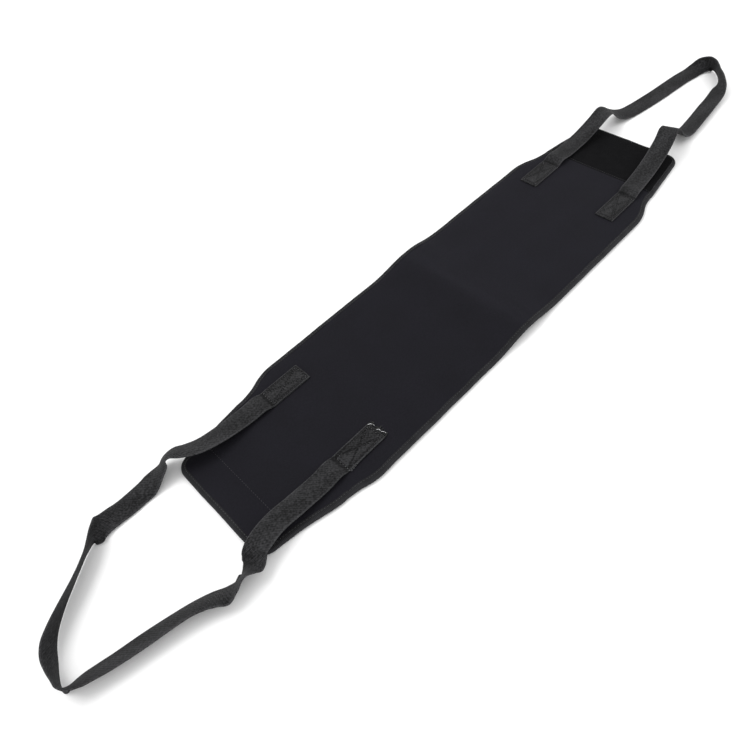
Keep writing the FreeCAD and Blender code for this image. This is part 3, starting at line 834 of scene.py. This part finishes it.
def strap_frames(line):
    """Along, across and through directions of a strap at each point of its line."""
    along = np.gradient(line[:, :3], axis=0)
    along /= np.linalg.norm(along, axis=1)[:, None]
    level = np.stack([-along[:, 1], along[:, 0], np.zeros(len(along))], 1)
    level /= np.linalg.norm(level, axis=1)[:, None]
    above = np.cross(along, level)
    roll = np.radians(line[:, 3])[:, None]
    across = np.cos(roll) * level + np.sin(roll) * above
    return along, across, np.cross(along, across)


ACROSS_STEPS = 16
STITCH_DENT = 0.55  # how deep the thread pulls a strap in
TUCK_SHARE = 0.985  # the folded-under layer's width, as a share of the strap's


def strap_section():
    """The tape's section: flat faces with round selvedges, as across and through offsets."""
    wide, thick = STRAP_WIDE / 2, STRAP_THICK / 2
    edge = [(wide - 0.12, thick * 0.62), (wide, 0), (wide - 0.12, -thick * 0.62)]
    face = [(w, thick) for w in np.linspace(-(wide - 0.55), wide - 0.55, ACROSS_STEPS + 1)]
    half = face + edge
    return half + [(-w, -t) for w, t in half]


def sewn_rows():
    """The lines of the sewn box and its cross, as (x, w) ends on a sewn strap."""
    low, high = SEWN_START + BOX_INSET, SEWN_FINISH - BOX_INSET
    half = STRAP_WIDE / 2 - BOX_INSET
    a, b, c, d = (low, -half), (high, -half), (high, half), (low, half)
    return [(a, b), (b, c), (c, d), (d, a), (a, c), (b, d)]


def stitch_dent(x, w):
    """How strongly the thread pulls the strap in at a place on a sewn end, from 0 to 1."""
    spot = np.stack([np.abs(x), np.broadcast_to(w, x.shape)], 1)
    dent = np.zeros(len(x))
    for start, finish in sewn_rows():
        start, run = np.array(start), np.array(finish) - np.array(start)
        share = np.clip((spot - start) @ run / (run @ run), 0, 1)
        away = np.linalg.norm(spot - start - share[:, None] * run, axis=1)
        dent = np.maximum(dent, np.exp(-((away / 0.95) ** 2)))
    return dent


def strap_mesh(name, line, wide=1.0):
    """A strap along a line of x, y, z, roll, cup and lean. A narrower one has no dents from the thread."""
    along, across, through = strap_frames(line)
    across = across + along * np.tan(np.radians(line[:, 5]))[:, None]
    section = strap_section()
    lengths = np.concatenate([[0], np.cumsum(np.linalg.norm(np.diff(line[:, :3], axis=0), axis=1))])
    cup = np.radians(np.maximum(line[:, 4], 1.0))
    sewn = np.abs(line[:, 0]) < SEWN_FINISH + 1
    points, uvs, wear_and_painted_light = [], [], []
    for w, t in section:
        turn = cup * w / (STRAP_WIDE / 2)
        radius = STRAP_WIDE / 2 / cup
        aside = radius * np.sin(turn) * wide - t * np.sin(turn)
        bow = radius * (np.cos(turn) - (1 + np.cos(cup)) / 2) + t * np.cos(turn)
        dent = stitch_dent(line[:, 0], w) * sewn * (wide == 1.0)
        points.append(line[:, :3] + across * aside[:, None] + through * bow[:, None])
        points[-1][:, 2] -= dent * STITCH_DENT
        uvs.append(np.column_stack([np.full(len(line), w), lengths]))
        paleness = 0.18 if abs(w) > STRAP_WIDE / 2 - 0.6 else 0.0
        # Painted shade: darker in the thread's dents and in the crease where the strap lifts off its sewn
        # end.
        crease_shade = np.exp(-(((np.abs(line[:, 0]) - SEWN_FINISH) / 1.7) ** 2))
        wear_and_painted_light.append(paleness + 0.08 * np.sin(lengths / 23.0 + w / 5) - 0.5 * dent - 0.35 * crease_shade)
    count = len(section)
    points = np.array(points).transpose(1, 0, 2).reshape(-1, 3)
    uvs = np.array(uvs).transpose(1, 0, 2).reshape(-1, 2)
    caps, sharp = end_caps(len(points), count)
    faces = strip_faces(len(line), count, closed=True) + caps
    return new_piece(name, points, faces, uvs, WEBBING, np.array(wear_and_painted_light).T.ravel(), sharp, settled=False)


UNDER_LAYER = 0.72  # the middle of the folded-under layer, above the pressed cover
TOP_LAYER = 2.15  # the middle of the strap over it


def sewn_height(x, y):
    """The middle of the strap where it is sewn down over its own folded end."""
    return upper(x, y) + TOP_LAYER


def sewn_line(sign, side, roll):
    """The sewn end of a strap, from its folded inner end out to where it lifts."""
    between = np.arange(SEWN_START + 2, SEWN_FINISH - 3, 3.0)
    y = side * STRAP_SIDE
    line = []
    for x in (SEWN_START, *between, SEWN_FINISH - 2.5, SEWN_FINISH):
        dip = 0.35 if x > SEWN_FINISH - 6 else 0.0
        tuck = 0.9 * math.exp(-(x - SEWN_START) / 1.2)
        line.append((x * sign, y, sewn_height(x * sign, y) - dip - tuck, roll, 0, 0))
    return line


def handle(name, sign, route, bodies, nodes):
    """One continuous strap: a sewn end, the free loop and the other sewn end."""
    first = 1 if route[0][1] > 0 else -1
    points = [(x / MM, y / MM, z / MM, *angles) for x, y, z, *angles in route]
    line = sewn_line(sign, first, points[0][3]) + points[1:-1]
    line += sewn_line(sign, -first, points[-1][3])[::-1]
    strap = strap_mesh(name, spline(line, 7))
    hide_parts(*nodes)
    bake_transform(strap)
    for side, side_name in ((1, "left"), (-1, "right")):
        y = side * STRAP_SIDE
        roll = 0 if sign * side < 0 else 180
        under = []
        for x in np.arange(SEWN_START + 0.4, SEWN_FINISH - 1, 3.0):
            under.append((x * sign, y, upper(x * sign, y) + UNDER_LAYER, roll, 0, 0))
        tuck = strap_mesh(f"{name}_tuck_{side_name}", np.array(under), TUCK_SHARE)
        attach(tuck, bodies[0])


handle(
    "near_handle", -1, NEAR_ROUTE, ("near_end", "near_loop"),
    ("strap_end_near_left", "strap_end_near_right", "near_handle_loop"),
)
handle(
    "far_handle", 1, FAR_ROUTE, ("far_end", "far_loop"),
    ("strap_end_far_left", "strap_end_far_right", "far_handle_loop"),
)


def box_stitches(end, sign, side, side_name):
    """The box with a cross in it that holds a strap's end down."""

    def top(x, y):
        return sewn_height(x, side * STRAP_SIDE) + STRAP_THICK / 2 - 0.5

    spots = []
    for ends in sewn_rows():
        start, finish = [np.array([x * sign, y + side * STRAP_SIDE]) for x, y in ends]
        spots += row_of_stitches(start, finish, 3.1, top)
    thread = stitch_mesh(f"box_stitches_{end}_{side_name}", spots, 2.4, THREAD, 0.75, 0.4)
    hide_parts(f"box_stitching_{end}_{side_name}")
    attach(thread, f"{end}_end")


for end, sign in (("near", -1), ("far", 1)):
    for side, side_name in ((1, "left"), (-1, "right")):
        box_stitches(end, sign, side, side_name)


THREAD_SIDES = 6
LOOSE_RADIUS, FRAY_RADIUS = 0.38, 0.5


def loose_end(name, start, bends, radius, material):
    """A cut thread end: a thin bent tube."""
    line = spline([start, *bends], 6)
    turns = np.linspace(0, 2 * math.pi, THREAD_SIDES + 1)[:-1]
    ring = [(math.cos(t) * radius, math.sin(t) * radius) for t in turns]
    along = np.gradient(line, axis=0)
    along /= np.linalg.norm(along, axis=1)[:, None]
    side = np.cross(along, (0, 0, 1.0))
    side /= np.linalg.norm(side, axis=1)[:, None]
    up = np.cross(side, along)
    rings = [[p + s * a + u * b for a, b in ring] for p, s, u in zip(line, side, up)]
    points = np.array(rings).reshape(-1, 3)
    caps, _ = end_caps(len(points), THREAD_SIDES)
    faces = strip_faces(len(line), THREAD_SIDES, closed=True) + caps
    piece = new_piece(name, points, faces, points[:, :2], material, settled=False)
    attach(piece, "near_end")


TAIL_X = -SEWN_START  # where the near right strap's inner end is, and how high the cover is just past it
TAIL_Z = float(upper(TAIL_X + 4, -STRAP_SIDE))
# Two bits at the near right strap's cut end; their pale colour is a painted highlight.
loose_end(
    "loose_thread_a", (TAIL_X - 2, -49.5, TAIL_Z + 2.7),
    [
        (TAIL_X + 0.5, -50.5, TAIL_Z + 2.6), (TAIL_X + 2.5, -52.5, TAIL_Z + 1.0),
        (TAIL_X + 3.0, -54.5, TAIL_Z + 0.5),
    ],
    LOOSE_RADIUS, LOOSE_THREAD_HIGHLIGHT,
)
loose_end(
    "loose_thread_b", (TAIL_X + 0.5, -60.5, TAIL_Z + 1.6),
    [
        (TAIL_X + 2.5, -62.5, TAIL_Z + 1.8), (TAIL_X + 2.2, -65.0, TAIL_Z + 1.0),
        (TAIL_X + 4.0, -67.5, TAIL_Z + 0.6), (TAIL_X + 4.5, -70.5, TAIL_Z + 0.5),
    ],
    LOOSE_RADIUS, LOOSE_THREAD_HIGHLIGHT,
)
FRAY = random.Random(11)
FIBRES, FIRST_FIBRE, FIBRE_PITCH = 12, -73.5, 2.25
for index in range(FIBRES):
    across = FIRST_FIBRE + index * FIBRE_PITCH + FRAY.uniform(-0.8, 0.8)
    reach, bend_by = FRAY.uniform(3.0, 7.5), FRAY.uniform(-2.5, 2.5)
    loose_end(
        f"frayed_end_{index + 1}", (TAIL_X - 1, across, TAIL_Z + 1.9),
        [
            (TAIL_X + 0.4 * reach, across + 0.3 * bend_by, TAIL_Z + 1.6),
            (TAIL_X + reach, across + bend_by, TAIL_Z + 0.45),
        ],
        FRAY_RADIUS, FRAYED,
    )

# ---- Floor, light and camera, in metres ----

FLOOR_REACH, FLOOR_Z = 30.0, -0.0003
KEY_POWER, FILL_POWER, WORLD_LIGHT = 25, 10, 0.94
LENS, SENSOR = 28.39, 36.0
CAMERA_PLACE = (-408.95, -326.04, 557.56)  # in mm about the padding's middle
CAMERA_FORWARD = (0.35600, 0.46776, -0.80899)
CAMERA_UP = (0.62105, 0.52844, 0.57884)


def floor():
    """A plain pale floor."""
    low, high = -FLOOR_REACH, FLOOR_REACH
    corners = [(x, y, FLOOR_Z) for x, y in ((low, low), (high, low), (high, high), (low, high))]
    mesh = bpy.data.meshes.new("floor")
    mesh.from_pydata(corners, [], [(0, 1, 2, 3)])
    plane = bpy.data.objects.new("floor", mesh)
    bpy.context.scene.collection.objects.link(plane)
    material = bpy.data.materials.new("floor")
    material.use_nodes = True
    shader = material.node_tree.nodes["Principled BSDF"]
    shader.inputs["Base Color"].default_value = (0.92, 0.92, 0.92, 1)
    shader.inputs["Roughness"].default_value = 1.0
    shader.inputs["Specular IOR Level"].default_value = 0.0
    mesh.materials.append(material)
    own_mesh(plane)


floor()


def area_light(name, place, aim, size, power):
    light = bpy.data.lights.new(name, "AREA")
    light.size = size
    light.energy = power
    lamp = bpy.data.objects.new(name, light)
    lamp.location = Vector(place)
    lamp.rotation_euler = (Vector(aim) - Vector(place)).to_track_quat("-Z", "Y").to_euler()
    bpy.context.scene.collection.objects.link(lamp)


area_light("key", (-0.75, 0.95, 2.1), (0, 0, 0), 1.2, KEY_POWER)
area_light("fill", (1.2, -0.6, 2.0), (0, 0, 0), 2.0, FILL_POWER)

world = bpy.data.worlds.new("studio")
world.use_nodes = True
world.node_tree.nodes["Background"].inputs["Color"].default_value = (1.0, 1.0, 1.0, 1)
world.node_tree.nodes["Background"].inputs["Strength"].default_value = WORLD_LIGHT
bpy.context.scene.world = world
bpy.context.scene.view_settings.view_transform = "Standard"
bpy.context.scene.view_settings.look = "None"

camera_data = bpy.data.cameras.new("camera")
camera_data.sensor_width = SENSOR
camera_data.lens = LENS
camera_data.clip_start = 0.01
camera = bpy.data.objects.new("camera", camera_data)
forward = Vector(CAMERA_FORWARD).normalized()
right = forward.cross(Vector(CAMERA_UP)).normalized()
camera_up = right.cross(forward)
camera.matrix_world = Matrix.Translation(at(*CAMERA_PLACE)) @ Matrix(
    (
        (right.x, camera_up.x, -forward.x),
        (right.y, camera_up.y, -forward.y),
        (right.z, camera_up.z, -forward.z),
    )
).to_4x4()
bpy.context.scene.collection.objects.link(camera)
bpy.context.scene.camera = camera
